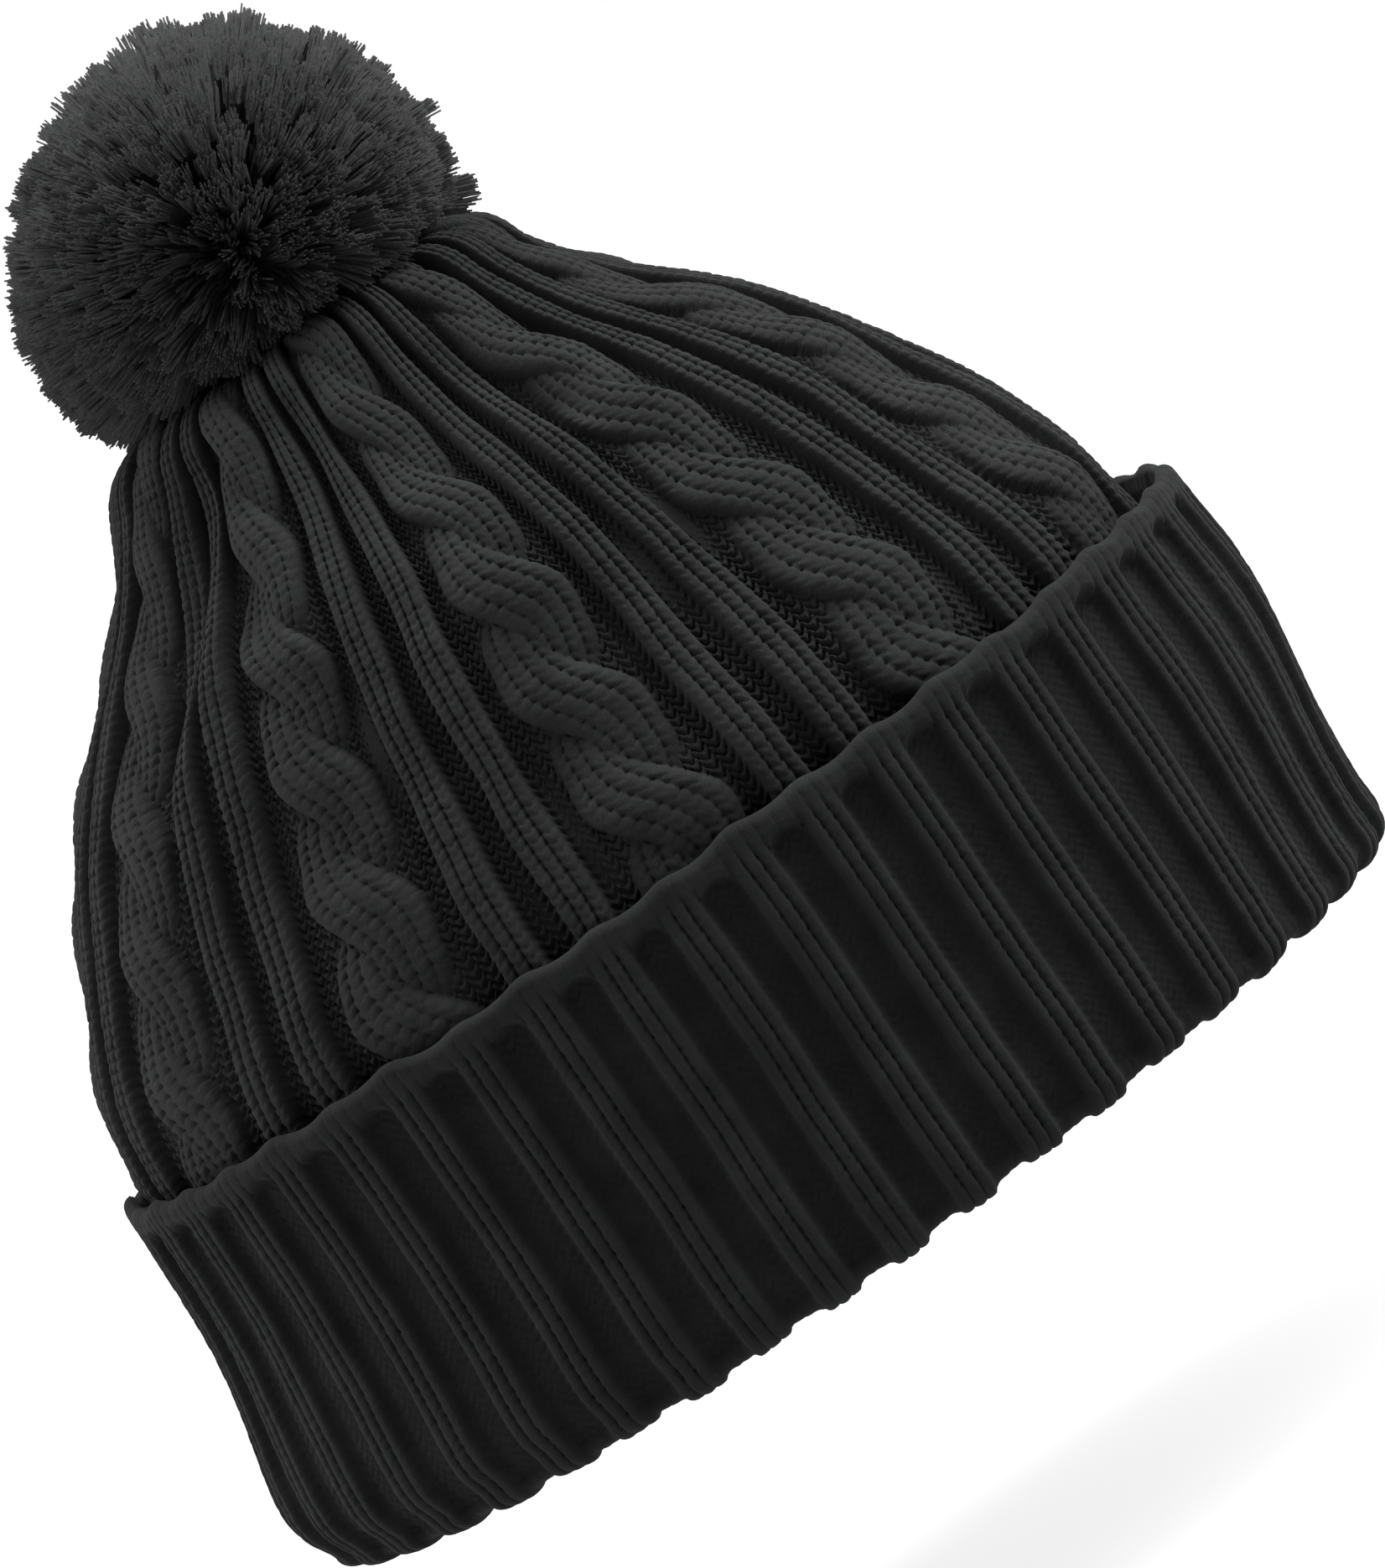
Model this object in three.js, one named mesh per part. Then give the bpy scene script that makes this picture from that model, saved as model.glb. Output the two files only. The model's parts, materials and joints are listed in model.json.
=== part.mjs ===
// A cable-knit beanie with a deep turned-up cuff and a yarn pompom.
// Millimetres, +Z up. The origin is the middle of the hat on the surface that its folded edge stands on,
// the front faces -Y, and the head goes in from below.
import * as THREE from "three";

// Driving dimensions.
const FABRIC = 4.2; // thickness of the rib fabric
const FOLD_GAP = 1.0; // space between the two layers at the cuff
const FOLD_RADIUS = FABRIC + FOLD_GAP / 2; // outside of the fold, round the line that the cuff turns on
const FOLD_HALF_X = 105.3; // half width of the line that the cuff turns on
const FOLD_HALF_Y = 85.3; // half depth of the same line
const CUFF_TOP = 74;
const CUFF_RIBS = 44;
const CLEARANCE = 0.3; // left between pieces that the real hat holds against each other

// The crown, seen from the front: half width and height of its outside, from the cuff to the gathered hole.
const CROWN_OUTLINE = [
  [104.8, 66],
  [102.4, 84],
  [96.2, 98],
  [88.9, 112],
  [80.3, 127],
  [69.4, 141],
  [54.7, 156],
  [45.2, 168],
  [40.2, 176],
  [34.5, 179.8],
  [27, 180.4],
  [17, 178.6],
  [9.4, 174.6],
];
const CROWN_STEPS = 16;
const CROWN_TOP = 177; // height at which the plan has become round
const LEAN_SLOPE = 0.026; // how much the whole hat leans to the wearer's left, over its height
const PLAN_SIDES = 52;

// The pompom and the cord that ties it on.
const PIVOT_Z = 181.2; // middle of the knot at the neck of the cord
const NECK_RADIUS = 2.6;
const CORD_RADIUS = 1.5;
const CORD_BOTTOM = 171.4;
const STEM_TOP = 190.6;
const POMPOM_RADIUS = 40;
const POMPOM_CENTRE_Z = 197;
const POMPOM_BORE = 5.2;
const BINDING_RADIUS = 4.4;
const BINDING_HEIGHT = 7;

const TAU = Math.PI * 2;
const yarn = (colour, roughness = 0.95) =>
  new THREE.MeshStandardMaterial({ color: colour, roughness, metalness: 0 });

const hat = new THREE.Group();

function addMesh(parent, name, geometry, material) {
  const mesh = new THREE.Mesh(geometry, material);
  mesh.name = name;
  parent.add(mesh);
  return mesh;
}

// The plan goes from an oval at the cuff to a circle at the top of the crown.
function ovalness(z) {
  const t = THREE.MathUtils.clamp((z - CUFF_TOP) / (CROWN_TOP - CUFF_TOP), 0, 1);
  return (FOLD_HALF_X - FOLD_HALF_Y) * (1 - THREE.MathUtils.smoothstep(t, 0, 1));
}

// Everything above the rolled edge leans over by the same slope.
function leanAt(z) {
  return LEAN_SLOPE * Math.max(0, z - 2 * FOLD_RADIUS);
}

// Turns a lathe about the upright axis into the hat's plan: oval low down, round at the top, and leaning.
function fitToPlan(lathe) {
  lathe.rotateX(Math.PI / 2);
  const at = lathe.attributes.position;
  for (let i = 0; i < at.count; i++) {
    const z = at.getZ(i);
    const halfX = Math.hypot(at.getX(i), at.getY(i));
    const shrink = halfX > 0 ? (halfX - ovalness(z)) / halfX : 1;
    at.setXYZ(i, at.getX(i) + leanAt(z), at.getY(i) * shrink, z);
  }
  return lathe;
}

function closedLathe(outline, sides) {
  return new THREE.LatheGeometry([...outline, outline[0]], sides);
}

// Evenly spaced points along the outside of the crown, each with its point on the inside of the fabric.
function crownLayers() {
  const spline = new THREE.SplineCurve(CROWN_OUTLINE.map(([x, z]) => new THREE.Vector2(x, z)));
  const outside = spline.getSpacedPoints(CROWN_STEPS);
  const inside = outside.map((point, i) => {
    const along = spline.getTangentAt(i / CROWN_STEPS);
    return new THREE.Vector2(point.x - along.y * FABRIC, point.y + along.x * FABRIC);
  });
  return { outside, inside };
}

// The folded edge in section: a ten-sided roll round the turning line, flat underneath.
function foldRoll() {
  const sides = 10;
  const corner = FOLD_RADIUS / Math.cos(Math.PI / sides);
  const points = [];
  for (let i = 0; i < 8; i++) {
    const angle = Math.PI + (i * TAU) / sides;
    points.push(
      new THREE.Vector2(
        FOLD_HALF_X + corner * Math.cos(angle),
        FOLD_RADIUS + corner * Math.sin(angle),
      ),
    );
  }
  return points;
}

// The knitted tube: the band behind the cuff, the fold that it stands on, and the crown.
function addKnitBody() {
  const { outside, inside } = crownLayers();
  const bandTop = CROWN_OUTLINE[0][1];
  const bandSteps = 3;
  const innerBand = [];
  const outerBand = [];
  for (let i = 1; i <= bandSteps; i++) {
    const z = THREE.MathUtils.lerp(2 * FOLD_RADIUS + CLEARANCE, bandTop, (i - 1) / bandSteps);
    innerBand.unshift(new THREE.Vector2(FOLD_HALF_X - FOLD_RADIUS, z));
    outerBand.push(new THREE.Vector2(FOLD_HALF_X - FOLD_GAP / 2, z));
  }
  const outline = [...inside.toReversed(), ...innerBand, ...foldRoll(), ...outerBand, ...outside];
  addMesh(hat, "knit_body", fitToPlan(closedLathe(outline, PLAN_SIDES)), yarn(0x2c2e2f));
}

// Places along the turning line, the same distance apart, each with its outward direction.
function ribPlaces() {
  const oval = new THREE.EllipseCurve(0, 0, FOLD_HALF_X, FOLD_HALF_Y, -TAU / 4, TAU * 0.75);
  oval.arcLengthDivisions = 4000;
  return Array.from({ length: CUFF_RIBS }, (_, i) => {
    const point = oval.getPointAt(i / CUFF_RIBS);
    const along = oval.getTangentAt(i / CUFF_RIBS);
    return { point, outward: Math.atan2(-along.x, along.y) };
  });
}

// One rib of the cuff in section: a raised rib with half a sunken valley at each side.
// x is outward from the turning line and y runs along it.
function ribSection() {
  const inner = FOLD_GAP / 2;
  const valley = inner + 1.7;
  const side = [
    [inner, 6.45],
    [valley, 6.2],
    [valley + 0.5, 4.7],
    [FOLD_RADIUS - 0.6, 3.7],
    [FOLD_RADIUS, 1.6],
  ];
  const other = side.map(([x, y]) => [x, -y]).reverse();
  return new THREE.Shape([...side, ...other].map(([x, y]) => new THREE.Vector2(x, y)));
}

// A rib of its own for each place, so that all of them lean the same way whichever way they face.
function leaningRib(upright, foot, outward) {
  const geometry = upright.clone();
  const at = geometry.attributes.position;
  for (let i = 0; i < at.count; i++) {
    const shift = leanAt(foot + at.getZ(i));
    at.setX(i, at.getX(i) + shift * Math.cos(outward));
    at.setY(i, at.getY(i) - shift * Math.sin(outward));
  }
  return geometry;
}

function addCuffRibs() {
  const foot = 2 * FOLD_RADIUS + 2 * CLEARANCE;
  const bevel = 0.6;
  const upright = new THREE.ExtrudeGeometry(ribSection(), {
    depth: CUFF_TOP - foot - 2 * bevel,
    bevelSegments: 1,
    bevelThickness: bevel,
    bevelSize: bevel,
    bevelOffset: -bevel,
    steps: 1,
  });
  ribPlaces().forEach(({ point, outward }, i) => {
    const name = `cuff_rib_${String(i + 1).padStart(2, "0")}`;
    const geometry = leaningRib(upright, foot + bevel, outward);
    const rib = addMesh(hat, name, geometry, yarn(0x202223));
    rib.position.set(point.x, point.y, foot + bevel);
    rib.rotation.z = outward;
  });
}

function cylinder(radius, bottom, top, sides = 12) {
  const geometry = new THREE.CylinderGeometry(radius, radius, top - bottom, sides);
  return geometry.rotateX(Math.PI / 2).translate(0, 0, (bottom + top) / 2);
}

// The thread that draws the last row of stitches together.
function addGatherThread(crown) {
  const ring = new THREE.TorusGeometry(5.6, 0.9, 8, 24);
  addMesh(crown, "crown_gather_thread", ring.translate(0, 0, 173.6), yarn(0x1c1d1e));
}

// The cord from the knot inside the crown up to the neck of the pompom.
function addTie(crown) {
  const top = PIVOT_Z - NECK_RADIUS - CLEARANCE;
  addMesh(crown, "tie_cord", cylinder(CORD_RADIUS, CORD_BOTTOM, top), yarn(0x1c1d1e));
  const knot = new THREE.SphereGeometry(4.6, 14, 10).scale(1, 1, 0.8);
  const knotZ = CORD_BOTTOM - CLEARANCE - 0.8 * 4.6;
  addMesh(crown, "tie_knot", knot.translate(0, 0, knotZ), yarn(0x1c1d1e));
  const neck = new THREE.SphereGeometry(NECK_RADIUS, 12, 8);
  addMesh(crown, "tie_neck", neck.translate(0, 0, PIVOT_Z), yarn(0x1c1d1e));
}

// The ball of cut yarn. Its underside slopes up from the neck, so that it can tip over the crown.
function pompomOutline() {
  const points = [
    [0, STEM_TOP + BINDING_HEIGHT + 2],
    [POMPOM_BORE, STEM_TOP + BINDING_HEIGHT + 2],
    [POMPOM_BORE, PIVOT_Z + 5],
    [18, PIVOT_Z + 9.6],
    [30, PIVOT_Z + 14.2],
  ].map(([x, z]) => new THREE.Vector2(x, z));
  const arcSteps = 9;
  for (let i = 0; i <= arcSteps; i++) {
    const angle = (i / arcSteps) * (TAU / 4);
    const x = POMPOM_RADIUS * Math.cos(angle);
    points.push(new THREE.Vector2(x, POMPOM_CENTRE_Z + 0.975 * POMPOM_RADIUS * Math.sin(angle)));
  }
  points[points.length - 1].x = 0;
  return points;
}

function addPompom(crown) {
  const stemBottom = PIVOT_Z + NECK_RADIUS + CLEARANCE;
  addMesh(crown, "pompom_stem", cylinder(CORD_RADIUS, stemBottom, STEM_TOP), yarn(0x1c1d1e));
  const bindingBottom = STEM_TOP + CLEARANCE;
  const binding = cylinder(BINDING_RADIUS, bindingBottom, bindingBottom + BINDING_HEIGHT, 16);
  addMesh(crown, "pompom_binding", binding, yarn(0x1c1d1e));
  const ball = new THREE.LatheGeometry(pompomOutline(), 28).rotateX(Math.PI / 2);
  addMesh(crown, "pompom_yarn", ball, yarn(0x2e2f30));
}

// Half depth of the inside of the hat at the back, at a height on the crown or band.
function backInside(z) {
  const { inside } = crownLayers();
  const above = inside.findIndex((point) => point.y > z);
  if (above <= 0) return FOLD_HALF_Y - FOLD_RADIUS;
  const [low, high] = [inside[above - 1], inside[above]];
  const share = (z - low.y) / (high.y - low.y);
  return THREE.MathUtils.lerp(low.x, high.x, share) - ovalness(z);
}

// The joining seam runs up the inside of the back.
function addBackSeam() {
  const radius = 1.3;
  const points = [];
  for (let z = 12; z <= 150; z += 6) {
    const y = backInside(z) - radius - 2 * CLEARANCE - Math.max(0, z - CUFF_TOP) * 0.012;
    points.push(new THREE.Vector3(leanAt(z), y, z));
  }
  const section = new THREE.Shape();
  section.absarc(0, 0, radius, 0, TAU);
  const seam = new THREE.ExtrudeGeometry(section, {
    extrudePath: new THREE.CatmullRomCurve3(points),
    steps: 30,
    curveSegments: 4,
  });
  addMesh(hat, "back_seam", seam, yarn(0x222425));
}

// A blank folded label sewn into the seam just above the fold.
function addLabel() {
  const thickness = 1.2;
  const behind = 4.4; // the seam and its clearances
  const label = new THREE.BoxGeometry(26, thickness, 22);
  const y = backInside(0) - behind - thickness / 2;
  addMesh(hat, "care_label", label.translate(0, y, 32), yarn(0x8c8c88, 0.7));
}

addKnitBody();
addCuffRibs();
addBackSeam();
addLabel();

const crown = new THREE.Group();
crown.position.x = leanAt(PIVOT_Z);
hat.add(crown);
addGatherThread(crown);
addTie(crown);
addPompom(crown);

export default hat;
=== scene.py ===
"""The looks of a cable-knit beanie with a turned-up cuff and a yarn pompom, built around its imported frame.

Shapes are worked out in millimetres on grids that follow the knitting: a column of stitches is a wale and a
row of stitches is a course. They become metres when a mesh is made.
"""

import json
import math

import bpy
import numpy as np
from mathutils import Matrix, Vector


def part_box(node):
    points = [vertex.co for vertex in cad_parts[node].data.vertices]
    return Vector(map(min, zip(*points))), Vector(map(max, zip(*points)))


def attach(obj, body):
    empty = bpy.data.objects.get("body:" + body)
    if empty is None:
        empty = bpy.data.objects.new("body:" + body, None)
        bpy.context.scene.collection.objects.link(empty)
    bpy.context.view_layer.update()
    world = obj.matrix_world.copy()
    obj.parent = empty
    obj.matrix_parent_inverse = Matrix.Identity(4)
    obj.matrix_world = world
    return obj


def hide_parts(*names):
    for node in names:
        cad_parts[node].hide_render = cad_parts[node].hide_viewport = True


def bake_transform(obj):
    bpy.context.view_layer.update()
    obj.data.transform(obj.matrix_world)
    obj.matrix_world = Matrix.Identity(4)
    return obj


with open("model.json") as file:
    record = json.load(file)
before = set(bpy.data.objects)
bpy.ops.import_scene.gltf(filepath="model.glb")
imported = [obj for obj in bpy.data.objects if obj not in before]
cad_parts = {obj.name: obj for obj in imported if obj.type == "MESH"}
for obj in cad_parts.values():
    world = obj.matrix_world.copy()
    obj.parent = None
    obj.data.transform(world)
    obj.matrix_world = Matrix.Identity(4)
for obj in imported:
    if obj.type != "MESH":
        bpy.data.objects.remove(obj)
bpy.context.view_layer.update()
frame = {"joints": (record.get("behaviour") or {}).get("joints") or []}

MM = 0.001
TAU = 2 * math.pi

# ---------------------------------------------------------------- sizes, from the frame

HINGES = {j["child"]: j for j in frame["joints"] if j["name"].startswith("cuff_turn")}
RIBS = sorted(HINGES)
FOLD_RADIUS = HINGES[RIBS[0]]["pos_m"][2] / MM
FOLD_HALF_X = max(abs(j["pos_m"][0]) for j in HINGES.values()) / MM
FOLD_HALF_Y = max(abs(j["pos_m"][1]) for j in HINGES.values()) / MM
CUFF_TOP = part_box(RIBS[0])[1].z / MM
FOLD_GAP = 1.0
FABRIC = FOLD_RADIUS - FOLD_GAP / 2
PIVOT = Vector(next(j for j in frame["joints"] if j["child"] == "pompom")["pos_m"]) / MM

# The outside of the crown seen from the front: half width and height, from the fold to the gathered hole.
CROWN_OUTLINE = [
    (FOLD_HALF_X - FOLD_GAP / 2, FOLD_RADIUS),
    (FOLD_HALF_X - FOLD_GAP / 2, 36),
    (FOLD_HALF_X - FOLD_GAP / 2, 66),
    (102.4, 84),
    (96.2, 98),
    (88.9, 112),
    (80.3, 127),
    (69.4, 141),
    (54.7, 156),
    (45.2, 168),
    (40.2, 176),
    (34.5, 179.8),
    (27, 180.4),
    (17, 178.6),
    (9.4, 174.6),
]
BAND_TOP = 60  # below this height the cuff hides the band
CROWN_TOP = 177
CROWN_SAG = 3.0  # how far the slack crown hangs out over the cuff on the wearer's right
LEAN_FROM = 2 * FOLD_RADIUS
LEAN_SLOPE = PIVOT.x / (PIVOT.z - LEAN_FROM)

# The knitting.
WALES_PER_RIB = 5  # three knitted, two purled
WALES = WALES_PER_RIB * len(RIBS)
REPEAT = 20  # rib, rib, rope cable: wales in one repeat of the pattern
REPEATS = WALES // REPEAT
COURSE = 1.97
WALE_SAMPLES = np.array([0, 0.1, 0.22, 0.38, 0.5, 0.62, 0.78, 0.9])
ROWS_PER_COURSE = 5
PER_WALE = len(WALE_SAMPLES)
COLUMNS = WALES * PER_WALE
FIRST_WALE = -WALES_PER_RIB / 2  # the first column is the valley before the front rib
WALE_AT = (np.arange(WALES)[:, None] + WALE_SAMPLES).ravel() + FIRST_WALE
RIB_DEPTH = 2.6
CUFF_DEPTH = 2.6
FOOT_FLARE = 5.9  # how much fuller the foot of the cuff is on the wearer's right
TOP_FLARE = 3.9  # how far the top of the cuff stands off the crown on the wearer's left
CUFF_KNIT = 0.87  # width of a knitted wale on the cuff, where the purled ones are stretched wider
CUFF_PURL = (WALES_PER_RIB - 3 * CUFF_KNIT) / 2
VALLEY_SHADE = 0.76  # how far the yarn's colour is darkened at the bottom of a valley: painted shade


def smooth(low, high, x):
    """0 below low, 1 above high, and a smooth step between them."""
    t = np.clip((x - low) / (high - low), 0, 1)
    return t * t * (3 - 2 * t)


def ripple(seed, count, share, z, turns=(1, 9), pitch=(25, 90)):
    """A smooth random field of about unit size that closes on itself round the hat."""
    rng = np.random.default_rng(seed)
    total = np.zeros(np.broadcast(share, z).shape)
    for _ in range(count):
        round_hat = rng.integers(*turns)
        up_hat = rng.uniform(*pitch) * rng.choice((-1, 1))
        total += np.sin(TAU * (round_hat * share + z / up_hat + rng.uniform(0, 1)))
    return total / math.sqrt(count)


# ---------------------------------------------------------------- the hat's plan and outline


def ovalness(z):
    return (FOLD_HALF_X - FOLD_HALF_Y) * (1 - smooth(CUFF_TOP, CROWN_TOP, z))


def lean_at(z):
    return LEAN_SLOPE * np.maximum(0, z - LEAN_FROM)


_oval = np.linspace(-TAU / 4, TAU * 0.75, 20001)
_steps = np.hypot(FOLD_HALF_X * np.diff(np.cos(_oval)), FOLD_HALF_Y * np.diff(np.sin(_oval)))
_along = np.concatenate([[0], np.cumsum(_steps)])
FOLD_GIRTH = _along[-1]


def plan_angle(share):
    """The plan angle at a share of the way round the fold line, counted from the front."""
    share = np.asarray(share)
    turns = np.floor(share)
    return np.interp((share - turns) * FOLD_GIRTH, _along, _oval) + turns * TAU


def catmull_rom(points, per_span=40):
    """A smooth curve through the points, as many short steps."""
    p = np.array(points, float)
    p = np.vstack([2 * p[0] - p[1], p, 2 * p[-1] - p[-2]])
    t = np.linspace(0, 1, per_span, endpoint=False)[:, None]
    spans = []
    for a, b, c, d in zip(p, p[1:], p[2:], p[3:]):
        spans.append(0.5 * (2 * b + (c - a) * t + (2 * a - 5 * b + 4 * c - d) * t**2
                            + (3 * b - a - 3 * c + d) * t**3))
    return np.vstack([*spans, p[-2:-1]])


def body_rows():
    """Half width, height and course number of each row of the body's grid, from the fold upwards."""
    line = catmull_rom(CROWN_OUTLINE)
    length = np.concatenate([[0], np.cumsum(np.hypot(*np.diff(line, axis=0).T))])
    band = np.interp(BAND_TOP, line[: len(line) // 2, 1], length[: len(line) // 2])
    coarse = round(band / COURSE) * 2
    fine = round((length[-1] - band) / COURSE) * ROWS_PER_COURSE
    hidden = np.linspace(0, band, coarse, endpoint=False)
    at = np.concatenate([hidden, np.linspace(band, length[-1], fine + 1)])
    half_x = np.interp(at, length, line[:, 0])
    z = np.interp(at, length, line[:, 1])
    return half_x, z, at / COURSE, coarse


def zone_widths(girth):
    """Widths of a knitted and of a purled wale where the hat is girth round. Purled ones close up first."""
    full = FOLD_GIRTH / WALES
    purl = 1.04 * full * (girth / FOLD_GIRTH) ** 1.45
    knit = (girth / REPEATS - 6 * purl) / 14
    return knit, purl


def is_purl(wale):
    """Whether the wale with this number is purled, on the plain ribs."""
    return np.isin(np.mod(wale, WALES_PER_RIB), (2, 3))


def in_cable(wale):
    return np.mod(wale + 1, REPEAT) < 8


def wale_counts(cables):
    """How many knitted and how many purled wales lie before each column."""
    number = np.arange(WALES) + int(FIRST_WALE + 0.5)
    purl = is_purl(number) & ~(in_cable(number) if cables else False)
    done = np.concatenate([[0], np.cumsum(purl)])[:-1]
    purl_before = (done[:, None] + purl[:, None] * WALE_SAMPLES).ravel()
    return WALE_AT - FIRST_WALE - purl_before, purl_before


# ---------------------------------------------------------------- stitches


def uneven(wale, course):
    """A number from 0 to 1 for each stitch, so that no two are pulled quite alike."""
    mixed = np.sin(np.floor(wale + 0.5) * 12.9898 + np.floor(course) * 78.233) * 43758.5453
    return mixed - np.floor(mixed)


def knit_relief(wale, course, groove=0.6, crack=0.28):
    """A knitted wale: a rounded cord of V stitches, with a gap pulled open beside each stitch."""
    a = 2 * np.abs(np.mod(wale + 0.5, 1) - 0.5)
    slanted = course - 0.55 * a
    t = np.mod(slanted, 1)
    gap = np.exp(-((np.minimum(t, 1 - t) / 0.17) ** 2)) * (0.35 + 1.1 * uneven(wale, slanted + 0.5))
    plump = 0.16 * uneven(wale + 50, slanted)
    return plump - 0.25 * a**2 - groove * smooth(0.66, 1, a) - gap * (crack + 0.5 * a**3)


def purl_relief(wale, course):
    """Purled stitches: arched bars one above another, half a course apart from one wale to the next."""
    p = np.mod(wale + 0.5, 1) - 0.5
    across = np.mod(np.floor(wale + 0.5), 2)
    arched = course + 0.5 * across + 0.3 * np.cos(TAU * p)
    t = np.mod(arched, 1)
    bar = np.sqrt(np.clip(1 - ((t - 0.5) / 0.4) ** 2, 0, 1))
    return (1.3 * bar - 1.15) * (0.6 + 0.6 * uneven(wale, arched))


def rib_level(wale, depth, edge=0.16):
    """Height of plain three-and-two ribbing under the top of its ribs."""
    x = np.abs(np.mod(wale - FIRST_WALE, WALES_PER_RIB) - WALES_PER_RIB / 2)
    return -depth * smooth(1.5 - edge, 1.5 + edge, x) - 0.35 * np.minimum(x / 1.5, 1) ** 2


CABLE_PITCH = 12  # courses from one crossing to the next
CABLE_RISE = 0.7  # how far the rope stands above the ribs


def cable_relief(across, course):
    """A rope of two strands, four wales each, that cross in turn from upper left to lower right.

    across is in wales from the middle of the rope. Gives the height and the strand's own wale number."""
    turn = -course / CABLE_PITCH
    eased = np.floor(turn) + 0.5 * np.mod(turn, 1) + 0.5 * smooth(0, 1, np.mod(turn, 1))
    best = np.full(np.broadcast(across, course).shape, -9.0)
    strand_wale = np.zeros_like(best)
    for side in (0, 1):
        phase = math.pi * (eased + side)
        over = np.sin(phase)
        centre = -1.75 * np.cos(phase)
        half = 2.35 + 1.0 * np.maximum(over, 0)
        x = (across - centre) / half
        dome = np.sqrt(np.clip(1 - np.abs(x) ** 2.8, 0, 1))
        height = -RIB_DEPTH + 0.2 + 1.2 * over + (RIB_DEPTH + CABLE_RISE - 1.4) * dome
        height = np.where(np.abs(x) < 1, height, -9.0)
        strand_wale = np.where(height > best, 2 * x + 0.5, strand_wale)
        best = np.maximum(best, height)
    return best, strand_wale


def body_relief(wale, course, shrink, pleat):
    """Height of the body's outside over its outline: ribs, valleys and rope cables with their stitches.

    shrink is 1 at the cuff and goes to 0 at the gathered hole. pleat deepens the valleys."""
    fine = 0.35 + 0.65 * shrink
    purl = is_purl(np.floor(wale + 0.5))
    level = rib_level(wale, RIB_DEPTH * (1 + pleat))
    plain = level + fine * np.where(purl, purl_relief(wale, course), knit_relief(wale, course))
    repeat = np.floor((wale - FIRST_WALE) / REPEAT)
    across = wale - FIRST_WALE - repeat * REPEAT - REPEAT / 4
    offset = CABLE_PITCH * np.mod(repeat * 0.44 + 0.1, 1)
    rope, strand_wale = cable_relief(across, course + offset)
    rope = rope + fine * knit_relief(strand_wale, course, groove=0.2, crack=0.2)
    raised = 0.5 * (1 - smooth(3, 4.4, np.abs(across)))
    ground = raised - RIB_DEPTH * (1 + pleat) + 0.75 * fine * purl_relief(wale, course)
    cable = np.maximum(rope, ground)
    return np.where(np.abs(across) < 4.6, cable, plain)


# ---------------------------------------------------------------- grids to meshes


def grid_normals(grid, wraps=True):
    """Unit normals of a grid of points, rows by columns, pointing to the side the columns turn round."""
    padded = np.concatenate([grid[:, -1:], grid, grid[:, :1]], 1) if wraps else grid
    across = np.gradient(padded, axis=1)
    across = across[:, 1:-1] if wraps else across
    up = np.gradient(grid, axis=0)
    n = np.cross(across, up)
    return n / np.maximum(np.linalg.norm(n, axis=2, keepdims=True), 1e-12)


def columns_of(first, count):
    """Indices of the columns of one piece, with the next piece's first column as its last."""
    return np.arange(first, first + count + 1) % COLUMNS


def quads(ids, flipped=False):
    a, b, c, d = ids[:-1, :-1], ids[:-1, 1:], ids[1:, 1:], ids[1:, :-1]
    order = (a, d, c, b) if flipped else (a, b, c, d)
    return np.stack(order, -1).reshape(-1, 4)


def edge_strips(outer, inner, rows, cols):
    """Faces that join the border of a fine outer grid to that of a coarse inner one, as lists of corners."""
    faces = []
    for j, (a, b) in enumerate(zip(cols, cols[1:])):
        faces.append([*outer[0, a : b + 1][::-1], inner[0, j], inner[0, j + 1]])
        faces.append([*outer[-1, a : b + 1], inner[-1, j + 1], inner[-1, j]])
    for i, (a, b) in enumerate(zip(rows, rows[1:])):
        faces.append([*outer[a : b + 1, 0], inner[i + 1, 0], inner[i, 0]])
        faces.append([*outer[a : b + 1, -1][::-1], inner[i, -1], inner[i + 1, -1]])
    return faces


def grid_uv(shape, low, high):
    """Even texture places for a grid, inside the box from low to high."""
    rows = np.linspace(low[1], high[1], shape[0])
    columns = np.linspace(low[0], high[0], shape[1])
    v, u = np.meshgrid(rows, columns, indexing="ij")
    return np.stack([u, v], -1).reshape(-1, 2)


def make_mesh(name, points, faces, normals=None, uv=None, material=None, depth=None):
    """A mesh object from points in millimetres. faces is a list of arrays of corners, one for each width.

    depth says for each point how deep it lies in the knitting, from 0 to 1; the yarn material darkens deep
    points with it, as painted shade."""
    mesh = bpy.data.meshes.new(name)
    groups = [np.asarray(f, np.int64) for f in faces if len(f)]
    sizes = np.concatenate([np.full(len(g), g.shape[1]) for g in groups])
    corners = np.concatenate([g.ravel() for g in groups])
    mesh.vertices.add(len(points))
    mesh.vertices.foreach_set("co", (np.asarray(points) * MM).astype(np.float32).ravel())
    mesh.loops.add(len(corners))
    mesh.loops.foreach_set("vertex_index", corners.astype(np.int32))
    mesh.polygons.add(len(sizes))
    mesh.polygons.foreach_set("loop_start", (np.cumsum(sizes) - sizes).astype(np.int32))
    mesh.polygons.foreach_set("use_smooth", np.ones(len(sizes), bool))
    if uv is not None:
        layer = mesh.uv_layers.new(name="OFBake")
        layer.data.foreach_set("uv", uv[corners].astype(np.float32).ravel())
    if depth is not None:
        mesh.attributes.new("depth", "FLOAT", "POINT").data.foreach_set("value", depth.astype(np.float32))
    mesh.update(calc_edges=True)
    mesh.validate()
    if normals is not None:
        mesh.normals_split_custom_set_from_vertices(normals.astype(np.float32))
    obj = bpy.data.objects.new(name, mesh)
    bpy.context.scene.collection.objects.link(obj)
    if material:
        mesh.materials.append(material)
    return obj


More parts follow.
